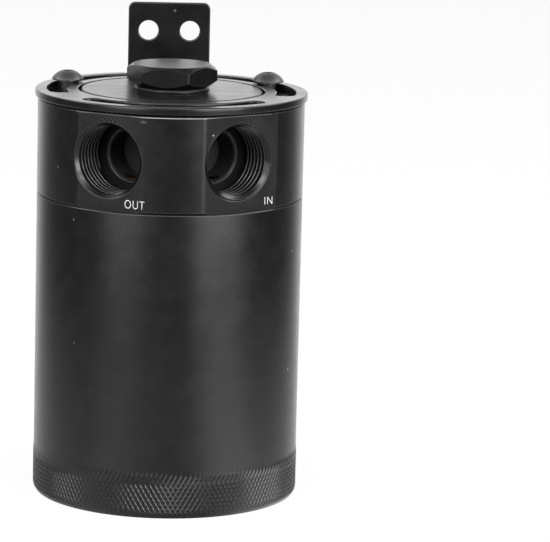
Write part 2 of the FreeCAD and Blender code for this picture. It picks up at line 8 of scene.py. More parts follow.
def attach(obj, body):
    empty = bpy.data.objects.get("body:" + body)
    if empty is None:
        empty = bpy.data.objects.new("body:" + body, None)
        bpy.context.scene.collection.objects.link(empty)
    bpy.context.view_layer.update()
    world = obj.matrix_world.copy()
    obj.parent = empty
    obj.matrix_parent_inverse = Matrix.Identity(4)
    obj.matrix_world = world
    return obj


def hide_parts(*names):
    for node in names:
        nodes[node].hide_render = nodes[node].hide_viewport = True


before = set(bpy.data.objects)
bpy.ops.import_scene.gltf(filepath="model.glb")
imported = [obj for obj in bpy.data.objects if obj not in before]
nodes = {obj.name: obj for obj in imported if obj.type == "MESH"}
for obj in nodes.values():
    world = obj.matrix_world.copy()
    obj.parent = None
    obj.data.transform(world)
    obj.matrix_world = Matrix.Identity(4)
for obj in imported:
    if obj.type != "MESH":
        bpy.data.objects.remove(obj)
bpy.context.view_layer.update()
scene = bpy.context.scene
scene.view_settings.view_transform = "Standard"
mm = 0.001
tiny = 1e-7
fullTurn = 2 * math.pi
print("frame loaded:", len(nodes), "nodes")

# The camera stands where the photograph was taken from, a little to the left of the front.
cameraPlace = {
    "distance": 996.8,
    "height": 257.05,
    "leftBy": 1.7,
    "lookDown": 10.762,
    "lookRight": 1.857,
    "tilt": 1.471,
    "lens": 219.3,
    "sensorWidth": 36,
    "clip": (0.01, 50),
}


def addObject(name, data):
    made = bpy.data.objects.new(name, data)
    scene.collection.objects.link(made)
    return made


def addCamera():
    keys = ("leftBy", "lookDown", "lookRight", "tilt")
    leftBy, down, aside, tilt = (math.radians(cameraPlace[key]) for key in keys)
    turn = Matrix.Rotation(-leftBy, 3, "Z")
    ahead = Vector((math.sin(aside) * math.cos(down), math.cos(aside) * math.cos(down), -math.sin(down)))
    right = Vector((math.cos(aside), -math.sin(aside), 0))
    up = right.cross(ahead)
    axes = [
        turn @ (math.cos(tilt) * right + math.sin(tilt) * up),
        turn @ (math.cos(tilt) * up - math.sin(tilt) * right),
        turn @ -ahead,
    ]
    place = turn @ Vector((0, -cameraPlace["distance"], cameraPlace["height"])) * mm
    view = addObject("camera", bpy.data.cameras.new("camera"))
    view.data.sensor_width = cameraPlace["sensorWidth"]
    view.data.lens = cameraPlace["lens"]
    view.data.clip_start, view.data.clip_end = cameraPlace["clip"]
    view.matrix_world = Matrix.Translation(place) @ Matrix(axes).transposed().to_4x4()
    scene.camera = view


addCamera()
print("camera placed")


# Small helpers for node trees.
def newNode(tree, kind, values=None, **settings):
    node = tree.nodes.new(kind)
    for key, value in settings.items():
        setattr(node, key, value)
    for key, value in (values or {}).items():
        if isinstance(value, bpy.types.NodeSocket):
            tree.links.new(value, node.inputs[key])
        else:
            node.inputs[key].default_value = value
    return node


def calc(tree, operation, first, second=0.0, third=0.0):
    node = newNode(tree, "ShaderNodeMath", {0: first, 1: second, 2: third}, operation=operation)
    return node.outputs[0]


def stretch(tree, value, low, high, start=0.0, end=1.0):
    # start where the value is low, end where it is high, and a slope between
    node = newNode(tree, "ShaderNodeMapRange", {0: value, 1: low, 2: high, 3: start, 4: end})
    return node.outputs[0]


def measure(tree, operation, *vectors):
    node = newNode(tree, "ShaderNodeVectorMath", dict(enumerate(vectors)), operation=operation)
    return node.outputs["Value"]


def ownPlace(tree):
    return newNode(tree, "ShaderNodeTexCoord").outputs["Object"]


def faceNormal(tree):
    return newNode(tree, "ShaderNodeNewGeometry").outputs["Normal"]


def split(tree, vector):
    return newNode(tree, "ShaderNodeSeparateXYZ", {0: vector}).outputs


def join(tree, x=0.0, y=0.0, z=0.0):
    return newNode(tree, "ShaderNodeCombineXYZ", {0: x, 1: y, 2: z}).outputs[0]


def grey(shade):
    return (shade, shade, shade, 1)


def blend(tree, share, first, second):
    node = newNode(tree, "ShaderNodeMix", {0: share, 6: first, 7: second}, data_type="RGBA")
    return node.outputs[2]


def mixShaders(tree, share, first, second):
    return newNode(tree, "ShaderNodeMixShader", {0: share, 1: first.outputs[0], 2: second.outputs[0]})


def ramp(tree, factor, stops):
    node = newNode(tree, "ShaderNodeValToRGB", {0: factor})
    points = node.color_ramp.elements
    while len(points) < len(stops):
        points.new(0.5)
    for point, (place, shade) in zip(points, stops):
        point.position = place
        point.color = grey(shade)
    return node.outputs[0]


def newGroup(name, inputs, outputs):
    tree = bpy.data.node_groups.new(name, "ShaderNodeTree")
    for label, kind, value in inputs:
        socket = tree.interface.new_socket(label, in_out="INPUT", socket_type=kind)
        if value is not None:
            socket.default_value = value
    for label, kind in outputs:
        tree.interface.new_socket(label, in_out="OUTPUT", socket_type=kind)
    return tree, tree.nodes.new("NodeGroupInput").outputs, tree.nodes.new("NodeGroupOutput").inputs


def useGroup(tree, group, values=None):
    return newNode(tree, "ShaderNodeGroup", values, node_tree=group).outputs


# Studio: white to the camera and five soft lamps. What is glossy sees a glow that changes round
# the can: "far" is the room's, "near" the floor's close to the can, each as (bearing, level).
# A lamp is (name, bearing, climb, width, height, power). "above" and "overhead" are a level and
# the heights between which it takes over.
studio = {
    "plainLevel": 0.6,
    "above": (0.95, 0.25, 0.6),
    "overhead": (0.18, 0.75, 0.92),
    "lampDistance": 1.1,
    "lampAim": 0.06,
    "lamps": [("rightBox", 40, 14, 0.8, 0.45, 7.6), ("leftBox", -40, 14, 0.6, 0.45, 3.4),
              ("rightTop", 86, 37, 0.8, 0.45, 5.5), ("leftTop", -85, 36, 0.7, 0.45, 4.5),
              ("frontTop", -10, 37, 1.1, 0.35, 6.0)],
    "glowScale": 2.6,
    "floorWhite": 0.88,
    "floorMatt": 0.92,
    "floorReach": 6,
    "farDistance": 0.55,
    "nearDistance": 0.08,
    "near": [(-180, 1.3), (-150, 1.1), (-129, 0.9), (-109, 0.75), (-85, 0.66), (-62, 0.62), (-50, 0.88),
             (-34, 0.88), (-18, 0.6), (0, 0.46), (16, 0.5), (27, 1.0), (36, 1.65), (56, 1.8), (66, 1.25),
             (80, 0.9), (100, 0.85), (118, 0.95), (131, 1.05), (150, 1.2), (180, 1.3)],
    "far": [(-180, 1.45), (-150, 1.1), (-132, 0.3), (-112, 0.1), (-78, 0.1), (-66, 0.18), (-50, 0.4),
            (-34, 0.42), (-18, 0.22), (0, 0.12), (16, 0.16), (27, 0.5), (36, 0.72), (52, 0.72), (60, 0.32),
            (70, 0.15), (80, 0.1), (112, 0.05), (128, 0.3), (140, 0.9), (150, 1.25), (180, 1.45)],
}


def bearingGlow():
    tree, given, made = newGroup(
        "bearingGlow",
        [("Place", "NodeSocketVector", None), ("Near", "NodeSocketFloat", 0.0)],
        [("Glow", "NodeSocketColor")],
    )
    x, y = split(tree, given["Place"])[:2]
    bearing = calc(tree, "ARCTAN2", x, calc(tree, "MULTIPLY", y, -1.0))
    factor = calc(tree, "MULTIPLY_ADD", bearing, 1 / fullTurn, 0.5)
    shades = {}
    for key in ("near", "far"):
        stops = [(degrees / 360 + 0.5, level / studio["glowScale"]) for degrees, level in studio[key]]
        shades[key] = ramp(tree, factor, stops)
    tree.links.new(blend(tree, given["Near"], shades["far"], shades["near"]), made["Glow"])
    return tree


def lightStudio():
    glow = bearingGlow()
    world = bpy.data.worlds.new("studio")
    scene.world = world
    world.use_nodes = True
    tree = world.node_tree
    tree.nodes.clear()
    path = newNode(tree, "ShaderNodeLightPath").outputs
    direction = newNode(tree, "ShaderNodeTexCoord").outputs["Generated"]
    height = split(tree, direction)[2]
    seen = useGroup(tree, glow, {"Place": direction})["Glow"]
    for key in ("above", "overhead"):
        level, low, high = studio[key]
        seen = blend(tree, stretch(tree, height, low, high), seen, grey(level / studio["glowScale"]))
    plain, gloss, white = (
        newNode(tree, "ShaderNodeBackground", {"Color": colour, "Strength": strength})
        for colour, strength in ((grey(1), studio["plainLevel"]), (seen, studio["glowScale"]), (grey(1), 1.0))
    )
    mixed = mixShaders(tree, path["Is Glossy Ray"], plain, gloss)
    final = mixShaders(tree, path["Is Camera Ray"], mixed, white)
    newNode(tree, "ShaderNodeOutputWorld", {"Surface": final.outputs[0]})
    addFloor(glow)
    aim = Vector((0, 0, studio["lampAim"]))
    for name, bearing, climb, wide, tall, power in studio["lamps"]:
        lamp = addObject(name, bpy.data.lights.new(name, "AREA"))
        lamp.data.shape = "RECTANGLE"
        lamp.data.size = wide
        lamp.data.size_y = tall
        lamp.data.energy = power
        flat = studio["lampDistance"] * math.cos(math.radians(climb))
        rise = studio["lampDistance"] * math.sin(math.radians(climb))
        turn = math.radians(bearing)
        lamp.location = aim + Vector((flat * math.sin(turn), -flat * math.cos(turn), rise))
        lamp.rotation_euler = (aim - lamp.location).to_track_quat("-Z", "Y").to_euler()
        lamp.visible_camera = False


def addFloor(glow):
    material = bpy.data.materials.new("paleFloor")
    material.use_nodes = True
    tree = material.node_tree
    tree.nodes.clear()
    path = newNode(tree, "ShaderNodeLightPath").outputs
    place = newNode(tree, "ShaderNodeNewGeometry").outputs["Position"]
    near = stretch(tree, measure(tree, "LENGTH", place), studio["farDistance"], studio["nearDistance"])
    around = useGroup(tree, glow, {"Place": place, "Near": near})["Glow"]
    matt = newNode(tree, "ShaderNodeBsdfDiffuse", {"Color": grey(studio["floorMatt"])})
    white = newNode(tree, "ShaderNodeEmission", {"Color": grey(1), "Strength": 1.0})
    shine = newNode(tree, "ShaderNodeEmission", {"Color": around, "Strength": studio["glowScale"]})
    share = calc(tree, "MULTIPLY", path["Is Camera Ray"], studio["floorWhite"])
    final = mixShaders(tree, path["Is Glossy Ray"], mixShaders(tree, share, matt, white), shine)
    newNode(tree, "ShaderNodeOutputMaterial", {"Surface": final.outputs[0]})
    mesh = bpy.data.meshes.new("floor")
    reach = studio["floorReach"]
    corners = [(x * reach, y * reach, 0) for x, y in ((-1, -1), (1, -1), (1, 1), (-1, 1))]
    mesh.from_pydata(corners, [], [(0, 1, 2, 3)])
    mesh.materials.append(material)
    floor = addObject("floor", mesh)


lightStudio()
print("studio lit")


# Shared effects. A range is given as the value where the effect starts and the one where it is full.
effects = {
    "bevelSamples": 6, "rubAndGlintWidth": 2.0, "rubAndGlintRange": (0.97, 0.8),
    "fineScale": 4200.0, "cloudScale": 160.0, "cloudRange": (0.3, 0.7), "grainHeight": 0.02,
    "dustRarity": 0.8, "spotRange": (1.0, 0.4), "arcRange": (0.45, 0.05),
}


def edgeGroup():
    tree, given, made = newGroup(
        "softEdge",
        [("Radius", "NodeSocketFloat", 0.0002)],
        [("Normal", "NodeSocketVector"), ("RubAndGlint", "NodeSocketFloat")],
    )
    samples = effects["bevelSamples"]
    rounded = newNode(tree, "ShaderNodeBevel", {"Radius": given["Radius"]}, samples=samples).outputs[0]
    # a wider bevel finds the edges, whose paler tone is partly rubbed wear and partly a painted highlight
    wider = calc(tree, "MULTIPLY", given["Radius"], effects["rubAndGlintWidth"])
    wide = newNode(tree, "ShaderNodeBevel", {"Radius": wider}, samples=samples).outputs[0]
    facing = measure(tree, "DOT_PRODUCT", wide, faceNormal(tree))
    tree.links.new(rounded, made["Normal"])
    tree.links.new(stretch(tree, facing, *effects["rubAndGlintRange"]), made["RubAndGlint"])
    return tree


def grainGroup():
    tree, given, made = newGroup(
        "anodisedGrain",
        [("Scale", "NodeSocketFloat", 1.0)],
        [("Height", "NodeSocketFloat"), ("Cloud", "NodeSocketFloat")],
    )
    values = {0: ownPlace(tree), 3: given["Scale"]}
    scaled = newNode(tree, "ShaderNodeVectorMath", values, operation="SCALE").outputs[0]
    for label, scale, detail in (("Height", effects["fineScale"], 2.0), ("Cloud", effects["cloudScale"], 3.0)):
        noise = newNode(tree, "ShaderNodeTexNoise", {"Vector": scaled, "Scale": scale, "Detail": detail})
        tree.links.new(noise.outputs[0], made[label])
    return tree


def turningGroup():
    # lines round the axis, spaced by height or, across an end face, by radius
    tree, given, made = newGroup(
        "turningLines",
        [("Spacing", "NodeSocketFloat", 0.0003), ("Across", "NodeSocketFloat", 0.0)],
        [("Height", "NodeSocketFloat")],
    )
    x, y, z = split(tree, ownPlace(tree))
    radius = measure(tree, "LENGTH", join(tree, x, y))
    along = newNode(tree, "ShaderNodeMix", {0: given["Across"], 2: z, 3: radius}).outputs[0]
    step = calc(tree, "DIVIDE", along, given["Spacing"])
    lines = newNode(tree, "ShaderNodeTexNoise", {"W": step, "Scale": 1.0, "Detail": 2.0}, noise_dimensions="1D")
    tree.links.new(lines.outputs[0], made["Height"])
    return tree


def dustGroup():
    tree, given, made = newGroup(
        "dustSpecks",
        [("Scale", "NodeSocketFloat", 110.0), ("Size", "NodeSocketFloat", 0.05)],
        [("Mask", "NodeSocketFloat")],
    )
    values = {"Vector": ownPlace(tree), "Scale": given["Scale"]}
    cells = newNode(tree, "ShaderNodeTexVoronoi", values).outputs
    pick = newNode(tree, "ShaderNodeSeparateColor", {0: cells["Color"]}).outputs[0]
    few = calc(tree, "GREATER_THAN", pick, effects["dustRarity"])
    mask = calc(tree, "LESS_THAN", cells["Distance"], calc(tree, "MULTIPLY", given["Size"], few))
    tree.links.new(mask, made["Mask"])
    return tree


# Hose ports and the edges of the flats that they open in. The ports' places along their own
# lines, "inner", "outer" and "step", are measured from the can's axis, "from" from the flat.
portSizes = {
    "angle": 30.0, "flatTurn": 1.3, "height": 105.6, "bore": 11.11, "crest": 10.15, "pitch": 1.814,
    "from": 1.2, "inner": 26.0, "outer": 36.4, "relief": 11.55, "step": 24.0, "innerRim": 7.95,
    "face": {-1: 38.5, 1: 37.9}, "entry": {-1: 11.2, 1: 11.6}, "phase": 3.72, "threadGap": 0.3,
    "backReach": 0.5, "rimReach": 0.7, "rimWidth": 0.4, "entrySlack": 0.03,
}
headEdge = {
    "top": 120.1, "chamfer": 1.08, "tilt": 0.3, "line": 0.9, "lineShare": 0.55, "lineTilt": 0.07,
    "lineBearing": 22, "halfFlat": 12.79, "turn": 31.3, "upright": 0.2, "glintFrom": 8.5, "glintTo": 13.5,
    "glintEnd": 0.3, "reach": 28.5,
}


def portGroup():
    # how far a point lies from the axis of the nearer port, and how far out along that axis
    tree, given, made = newGroup("insidePort", [], [("Radius", "NodeSocketFloat"), ("Along", "NodeSocketFloat")])
    x, y, z = split(tree, ownPlace(tree))
    side = calc(tree, "ABSOLUTE", x)
    angle = math.radians(portSizes["angle"])
    out = calc(tree, "MULTIPLY_ADD", side, math.sin(angle), calc(tree, "MULTIPLY", y, -math.cos(angle)))
    across = calc(tree, "MULTIPLY_ADD", side, math.cos(angle), calc(tree, "MULTIPLY", y, math.sin(angle)))
    up = calc(tree, "SUBTRACT", z, portSizes["height"] * mm)
    tree.links.new(measure(tree, "LENGTH", join(tree, across, up)), made["Radius"])
    tree.links.new(out, made["Along"])
    return tree


def headEdgeGroup():
    # a narrow chamfer along the top of the flats, with a painted highlight along it, and a rounded edge down the
    # left of the right one
    tree, given, made = newGroup(
        "headEdges",
        [("Normal", "NodeSocketVector", None)],
        [("Normal", "NodeSocketVector"), ("PaintedGlint", "NodeSocketFloat")],
    )
    x, y, z = split(tree, ownPlace(tree))
    slope = split(tree, faceNormal(tree))[2]
    upright = calc(tree, "LESS_THAN", calc(tree, "ABSOLUTE", slope), headEdge["upright"])
    front = calc(tree, "LESS_THAN", y, 0.0)
    high = calc(tree, "GREATER_THAN", z, (headEdge["top"] - headEdge["chamfer"]) * mm)
    top = calc(tree, "MULTIPLY", calc(tree, "MULTIPLY", upright, front), high)
    side = calc(tree, "ABSOLUTE", x)
    # where the chamfer line lies, used to tilt the normal and to paint a highlight there
    glintLine = stretch(tree, side, headEdge["glintFrom"] * mm, headEdge["glintTo"] * mm, 1.0, headEdge["glintEnd"])
    within = calc(tree, "LESS_THAN", side, headEdge["reach"] * mm)
    glintLine = calc(tree, "MULTIPLY", glintLine, calc(tree, "MULTIPLY", top, within))
    tree.links.new(glintLine, made["PaintedGlint"])
    lift = join(tree, z=calc(tree, "MULTIPLY", glintLine, headEdge["tilt"]))
    raised = newNode(tree, "ShaderNodeVectorMath", {0: given["Normal"], 1: lift}, operation="ADD").outputs[0]
    turn = math.radians(headEdge["turn"])
    along = calc(tree, "MULTIPLY_ADD", x, math.cos(turn), calc(tree, "MULTIPLY", y, math.sin(turn)))
    away = calc(tree, "ABSOLUTE", calc(tree, "ADD", along, headEdge["halfFlat"] * mm))
    line = stretch(tree, away, 0.0, headEdge["line"] * mm, headEdge["lineShare"], 0.0)
    turned = math.radians(headEdge["lineBearing"])
    aim = join(tree, math.sin(turned), -math.cos(turned), headEdge["lineTilt"])
    share = calc(tree, "MULTIPLY", calc(tree, "MULTIPLY", line, front), upright)
    mixed = newNode(tree, "ShaderNodeMix", {0: share, 4: raised, 5: aim}, data_type="VECTOR").outputs[1]
    final = newNode(tree, "ShaderNodeVectorMath", {0: mixed}, operation="NORMALIZE").outputs[0]
    tree.links.new(final, made["Normal"])
    return tree


def spotGroup():
    # a small round mark, or arcs round a centre as a cutter leaves them
    tree, given, made = newGroup(
        "spotMark",
        [("Centre", "NodeSocketVector", None), ("Radius", "NodeSocketFloat", 0.001),
         ("Middle", "NodeSocketVector", None), ("Spacing", "NodeSocketFloat", 0.001)],
        [("Spot", "NodeSocketFloat"), ("Arcs", "NodeSocketFloat")],
    )
    place = ownPlace(tree)
    share = calc(tree, "DIVIDE", measure(tree, "DISTANCE", place, given["Centre"]), given["Radius"])
    spot = stretch(tree, share, *effects["spotRange"])
    ring = measure(tree, "DISTANCE", place, given["Middle"])
    wave = calc(tree, "ABSOLUTE", calc(tree, "SINE", calc(tree, "DIVIDE", ring, given["Spacing"])))
    arcs = stretch(tree, wave, *effects["arcRange"])
    tree.links.new(spot, made["Spot"])
    tree.links.new(calc(tree, "MULTIPLY", arcs, spot), made["Arcs"])
    return tree


spotMark = spotGroup()
insidePort = portGroup()
headEdges = headEdgeGroup()
softEdge = edgeGroup()
anodisedGrain = grainGroup()
turningLines = turningGroup()
dustSpecks = dustGroup()


def startFinish(name, look):
    material = bpy.data.materials.new(name)
    material.use_nodes = True
    tree = material.node_tree
    shader = tree.nodes["Principled BSDF"]
    shader.inputs["Metallic"].default_value = look.get("metallic", 0.0)
    shader.inputs["IOR"].default_value = look.get("ior", 1.5)
    shader.inputs["Specular IOR Level"].default_value = look.get("shine", 0.5)
    return material, tree, shader


def shadePorts(tree, shader, look, colour, rough):
    # inside a port: dull behind the thread and beyond it as painted shade, paler deep in the bore as painted
    # light, a thin inner rim painted paler as a painted highlight, and the entry cone
    inside = useGroup(tree, insidePort)
    radius, along = inside["Radius"], inside["Along"]
    low, high = look["ports"]
    deep = stretch(tree, radius, low * mm, high * mm)
    within = calc(tree, "LESS_THAN", radius, portSizes["relief"] * mm)
    within = calc(tree, "MULTIPLY", within, calc(tree, "LESS_THAN", along, portSizes["outer"] * mm))
    back = calc(tree, "LESS_THAN", along, (portSizes["inner"] + portSizes["backReach"]) * mm)
    dull = calc(tree, "MULTIPLY", calc(tree, "MAXIMUM", deep, back), within)
    gap = calc(tree, "ABSOLUTE", calc(tree, "SUBTRACT", radius, portSizes["innerRim"] * mm))
    rimStart = (portSizes["step"] - portSizes["rimReach"]) * mm
    rim = calc(tree, "LESS_THAN", gap, portSizes["rimWidth"] * mm)
    rim = calc(tree, "MULTIPLY", rim, calc(tree, "GREATER_THAN", along, rimStart))
    dull = calc(tree, "MULTIPLY", dull, calc(tree, "SUBTRACT", 1.0, rim))
    entry = calc(tree, "LESS_THAN", radius, (portSizes["bore"] + portSizes["entrySlack"]) * mm)
    entry = calc(tree, "MULTIPLY", entry, calc(tree, "GREATER_THAN", along, portSizes["outer"] * mm))
    tree.links.new(calc(tree, "MAXIMUM", dull, entry), shader.inputs["Metallic"])
    rough = newNode(tree, "ShaderNodeMix", {0: dull, 2: rough, 3: look["deepRough"]}).outputs[0]
    # the dull recesses get a dim reflectance as painted shade, and the bore beyond the step a paler one as painted
    # light
    inner = calc(tree, "LESS_THAN", along, rimStart)
    pale = stretch(tree, inner, 0.0, 1.0, look["deepPaintedShade"], look["innerPaintedLight"])
    # the thin inner rim is painted paler, a painted highlight
    pale = calc(tree, "MAXIMUM", pale, calc(tree, "MULTIPLY", rim, look["rimPaintedGlint"]))
    colour = blend(tree, calc(tree, "MAXIMUM", dull, rim), colour, pale)
    return blend(tree, entry, colour, grey(look["entryShade"])), rough


def blackFinish(name, look):
    material, tree, shader = startFinish(name, look)
    grain = useGroup(tree, anodisedGrain, {"Scale": look["grainScale"]})
    edge = useGroup(tree, softEdge, {"Radius": look["edge"] * mm})
    dust = useGroup(tree, dustSpecks, {"Size": look["dust"]})["Mask"]
    lines = useGroup(tree, turningLines, {"Spacing": look["lineSpacing"] * mm, "Across": look["across"]})["Height"]
    tones = [look["shade"] * share for share in look["cloudShares"]]
    colour = ramp(tree, grain["Cloud"], list(zip(effects["cloudRange"], tones)))
    # edges painted paler: partly rubbed wear, partly a painted highlight
    colour = blend(tree, calc(tree, "MULTIPLY", edge["RubAndGlint"], look["rub"]), colour, grey(look["rubAndGlintShade"]))
    colour = blend(tree, calc(tree, "MULTIPLY", dust, look["dustAmount"]), colour, grey(look["dustShade"]))
    for kind, centre, radius, shade, middle, spacing in look.get("marks", ()):
        values = {"Radius": radius * mm, "Spacing": spacing * mm / math.pi}
        values.update(Centre=tuple(mm * c for c in centre), Middle=tuple(mm * c for c in middle))
        colour = blend(tree, useGroup(tree, spotMark, values)[kind], colour, grey(shade))
    rough = stretch(tree, grain["Cloud"], *effects["cloudRange"], *look["roughness"])
    if "topCoat" in look:
        # the level top is coated and a little rougher than the sides
        flatTop = calc(tree, "GREATER_THAN", split(tree, faceNormal(tree))[2], look["levelFrom"])
        rough = calc(tree, "MULTIPLY_ADD", flatTop, look["topRough"], rough)
        tree.links.new(calc(tree, "MULTIPLY", flatTop, look["topCoat"]), shader.inputs["Coat Weight"])
        shader.inputs["Coat Roughness"].default_value = look["coatRough"]
    relief = calc(tree, "MULTIPLY_ADD", lines, look["lineDepth"], grain["Height"])
    values = {"Strength": look["bump"], "Distance": effects["grainHeight"] * mm, "Height": relief}
    bump = newNode(tree, "ShaderNodeBump", values)
    normal = edge["Normal"]
    if "ports" in look:
        edges = useGroup(tree, headEdges, {"Normal": normal})
        normal = edges["Normal"]
        colour, rough = shadePorts(tree, shader, look, colour, rough)
        # a painted highlight along the chamfer at the top of the flats
        colour = blend(tree, edges["PaintedGlint"], colour, grey(look["glintPaintShade"]))
    tree.links.new(colour, shader.inputs["Base Color"])
    tree.links.new(rough, shader.inputs["Roughness"])
    tree.links.new(normal, bump.inputs["Normal"])
    tree.links.new(bump.outputs[0], shader.inputs["Normal"])
    return material


# A mark is (kind, centre, radius, shade, middle of its arcs, their spacing), in millimetres.
nowhere = (0, 0, 0)
headMarks = [
    ("Spot", (11.18, -37.55, 114.06), 0.26, 0.5, nowhere, 1.0),
    ("Spot", (-9.75, -38.66, 117.8), 0.6, 0.032, nowhere, 1.0),
    ("Spot", (-9.2, -38.96, 117.85), 0.6, 0.04, nowhere, 1.0),
    ("Spot", (-8.6, -39.29, 117.8), 0.6, 0.032, nowhere, 1.0),
    ("Spot", (-33.64, -21.65, 101.62), 0.2, 0.3, nowhere, 1.0),
    ("Arcs", (-18.6, -33.7, 118.0), 5.2, 0.03, (-27.0, -29.1, 110.0), 1.15),
    ("Arcs", (22.9, -30.4, 117.9), 4.2, 0.022, (12.0, -37.0, 112.0), 1.15),
]
# in each look the edge tone is partly rubbed wear and partly a painted highlight
canisterLook = {
    "shade": 0.0045, "cloudShares": (0.8, 1.2), "roughness": (0.24, 0.29), "grainScale": 1.0, "bump": 0.18,
    "edge": 0.05, "rub": 0.25, "rubAndGlintShade": 0.16, "dust": 0.05, "dustAmount": 0.3, "dustShade": 0.3,
    "lineSpacing": 0.35, "lineDepth": 0.6, "across": 0.0,
}
# the head's port tones are painted shade in the recesses, painted light in the bore beyond the step and a painted
# highlight on the inner rim; its chamfer tone is a painted highlight
headLook = dict(canisterLook, edge=0.3, lineDepth=0.0, ports=(10.95, 11.05), deepRough=0.8, deepPaintedShade=0.03,
                innerPaintedLight=0.09, rimPaintedGlint=0.03, entryShade=0.055, glintPaintShade=0.2, dust=0.0, marks=headMarks)
portLook = dict(headLook, edge=0.2, rub=0.1, ports=(10.2, 10.36), deepPaintedShade=0.016, shine=0.9, ior=1.7, marks=())
# the sheet's one mark is a painted highlight on the tab, standing in for a small dimple
sheetLook = dict(canisterLook, shade=0.005, roughness=(0.2, 0.26), edge=0.15, lineDepth=0.0,
                 marks=[("Spot", (1.64, 38.6, 141.6), 0.55, 0.08, nowhere, 1.0)])
plugLook = dict(canisterLook, roughness=(0.21, 0.25), levelFrom=0.97, topRough=0.1, topCoat=1.0, coatRough=0.45,
                edge=0.12, lineDepth=0.3, lineSpacing=0.3, across=1.0, shine=0.42)
screwLook = dict(canisterLook, shade=0.028, roughness=(0.34, 0.4), edge=0.1, lineDepth=0.0, ior=1.7)

canisterFinish = blackFinish("blackCanister", canisterLook)
headFinish = blackFinish("blackHead", headLook)
portFinish = blackFinish("blackPort", portLook)
sheetFinish = blackFinish("blackSheet", sheetLook)
plugFinish = blackFinish("blackPlug", plugLook)
screwFinish = blackFinish("blackScrew", screwLook)

rubberLook = {"ior": 1.38, "grainScale": 0.6, "shades": (0.004, 0.008), "roughness": (0.32, 0.42), "bump": 0.3}
paintLook = {"grainScale": 0.5, "stops": [(0.25, 0.55), (0.6, 0.82)], "roughness": 0.6}
metalLook = {"metallic": 1.0, "darker": 0.8, "lighter": 1.1, "grainHeight": 0.05}
# name, colour, roughness, bump strength and grain scale of the inner pieces, by material slot
innerMetals = {
    "bare_sheet": ("rolledSheet", (0.55, 0.55, 0.56), (0.3, 0.5), 0.25, 1.0),
    "bright_steel": ("brightSteel", (0.62, 0.61, 0.6), (0.2, 0.32), 0.15, 1.0),
    "steel_mesh": ("knittedWire", (0.5, 0.5, 0.5), (0.35, 0.6), 1.0, 0.25),
    "spacer": ("spacerMetal", (0.66, 0.66, 0.67), (0.35, 0.5), 0.2, 1.0),
    # the bare tube is given a near-black colour as painted shade where it shows deep in the port
    "bare_tube": ("tubeInPaintedShade", (0.03, 0.03, 0.03), (0.55, 0.7), 0.2, 1.0),
    "sintered_bronze": ("sinteredBronze", (0.07, 0.047, 0.026), (0.75, 0.9), 1.0, 0.4),
}


def grainyFinish(tree, shader, grain, tone, roughness, bump, height):
    tree.links.new(tone, shader.inputs["Base Color"])
    rough = stretch(tree, grain["Cloud"], 0.0, 1.0, *roughness)
    tree.links.new(rough, shader.inputs["Roughness"])
    values = {"Strength": bump, "Distance": height * mm, "Height": grain["Height"]}
    tree.links.new(newNode(tree, "ShaderNodeBump", values).outputs[0], shader.inputs["Normal"])


def rubberFinish():
    look = rubberLook
    material, tree, shader = startFinish("sealRubber", look)
    grain = useGroup(tree, anodisedGrain, {"Scale": look["grainScale"]})
    tone = ramp(tree, grain["Cloud"], list(zip(effects["cloudRange"], look["shades"])))
    grainyFinish(tree, shader, grain, tone, look["roughness"], look["bump"], effects["grainHeight"])
    return material


def paintFinish():
    material, tree, shader = startFinish("whitePaint", paintLook)
    grain = useGroup(tree, anodisedGrain, {"Scale": paintLook["grainScale"]})
    tree.links.new(ramp(tree, grain["Height"], paintLook["stops"]), shader.inputs["Base Color"])
    shader.inputs["Roughness"].default_value = paintLook["roughness"]
    return material


def bareMetal(name, colour, roughness, bump, grainScale):
    material, tree, shader = startFinish(name, metalLook)
    grain = useGroup(tree, anodisedGrain, {"Scale": grainScale})
    dark, light = ((*(metalLook[key] * c for c in colour), 1) for key in ("darker", "lighter"))
    tone = blend(tree, grain["Cloud"], dark, light)
    grainyFinish(tree, shader, grain, tone, roughness, bump, metalLook["grainHeight"])
    return material


rubber = rubberFinish()
whitePaint = paintFinish()
innerFinishes = {slot: bareMetal(*metal) for slot, metal in innerMetals.items()}


def finishNodes():
    slotOf = {node: piece.material_slots[0].material.name.split(".")[0] for node, piece in nodes.items()}
    outer = {
        "head": headFinish, "canister": canisterFinish, "bracket": sheetFinish, "top_plug": plugFinish,
        "bracket_screw_left": screwFinish, "bracket_screw_right": screwFinish,
        "head_o_ring": rubber, "plug_o_ring": rubber,
    }
    for node, piece in nodes.items():
        finish = outer.get(node) or innerFinishes[slotOf[node]]
        for slot in piece.material_slots:
            slot.material = finish


finishNodes()
print("finishes made")


# Small helpers for meshes. Outlines are in millimetres, meshes in metres.
def roundedPath(corners, arcSteps=5):
    path = []
    for k, (x, y, radius) in enumerate(corners):
        if radius == 0 or k in (0, len(corners) - 1):
            path.append((x, y))
            continue
        here = Vector((x, y))
        back = (Vector(corners[k - 1][:2]) - here).normalized()
        onward = (Vector(corners[k + 1][:2]) - here).normalized()
        half = back.angle(onward) / 2
        centre = here + (back + onward).normalized() * radius / math.sin(half)
        start = here + back * radius / math.tan(half) - centre
        end = here + onward * radius / math.tan(half) - centre
        sweep = start.angle_signed(end)
        for n in range(arcSteps + 1):
            turn = Matrix.Rotation(-sweep * n / arcSteps, 2)
            point = centre + turn @ start
            path.append((point.x, point.y))
    return path


def atAngle(radius, angle, height):
    return radius * mm * math.cos(angle), radius * mm * math.sin(angle), height * mm


